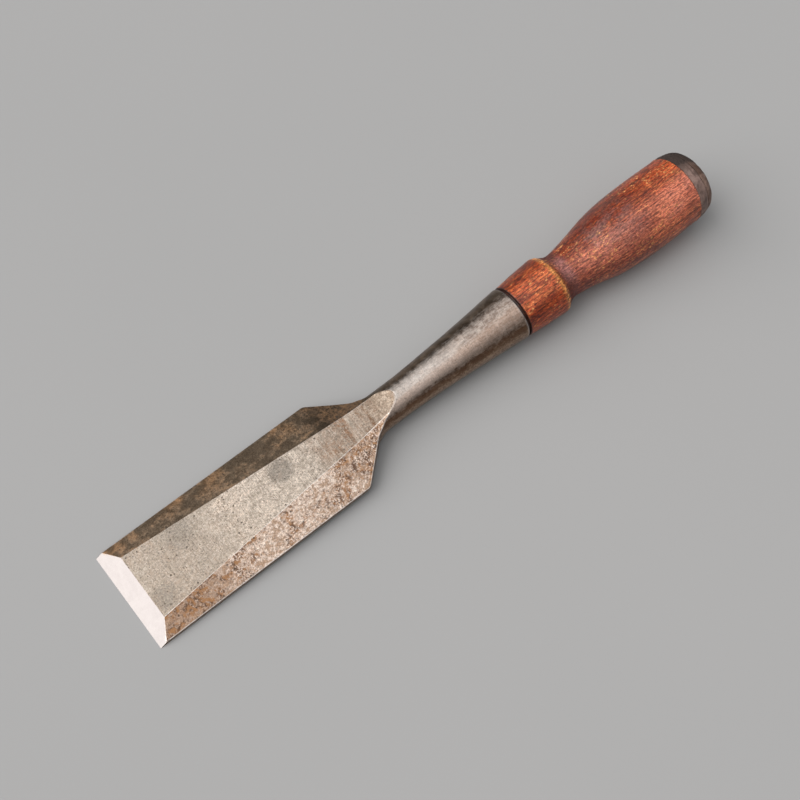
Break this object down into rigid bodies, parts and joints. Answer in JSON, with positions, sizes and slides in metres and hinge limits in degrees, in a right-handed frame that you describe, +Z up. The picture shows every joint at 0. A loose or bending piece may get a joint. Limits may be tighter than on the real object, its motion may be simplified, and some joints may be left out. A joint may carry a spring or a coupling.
{
  "type": "socket chisel",
  "caption": "Wide bevel-edge socket chisel with a flat-backed steel blade, conical socket, turned wooden handle and leather washers on the struck end.",
  "frame": {"origin": "on the surface the chisel lies on, under the middle of its box", "axes": "+X runs from the cutting edge to the struck end, +Z is up, and the flat back of the blade faces down"},
  "size_m": [0.3346, 0.0508, 0.0381],
  "materials": {
    "forged_steel": "old ground steel with brown patina and light rust",
    "turned_wood": "worn varnish over red-brown hardwood",
    "dark_leather": "worn black leather, rubbed gray",
    "brown_leather": "worn brown leather"
  },
  "bodies": {
    "steel": {"blade_and_socket": "forged_steel"},
    "grip": {"handle": "turned_wood", "leather_washer_inner": "dark_leather", "leather_washer_outer": "brown_leather"}
  },
  "joints": [
    {"name": "handle_draw", "type": "slide", "parent": "steel", "child": "grip", "axis": [0.9986, 0, 0.0535], "range_m": [0, 0.055]}
  ]
}
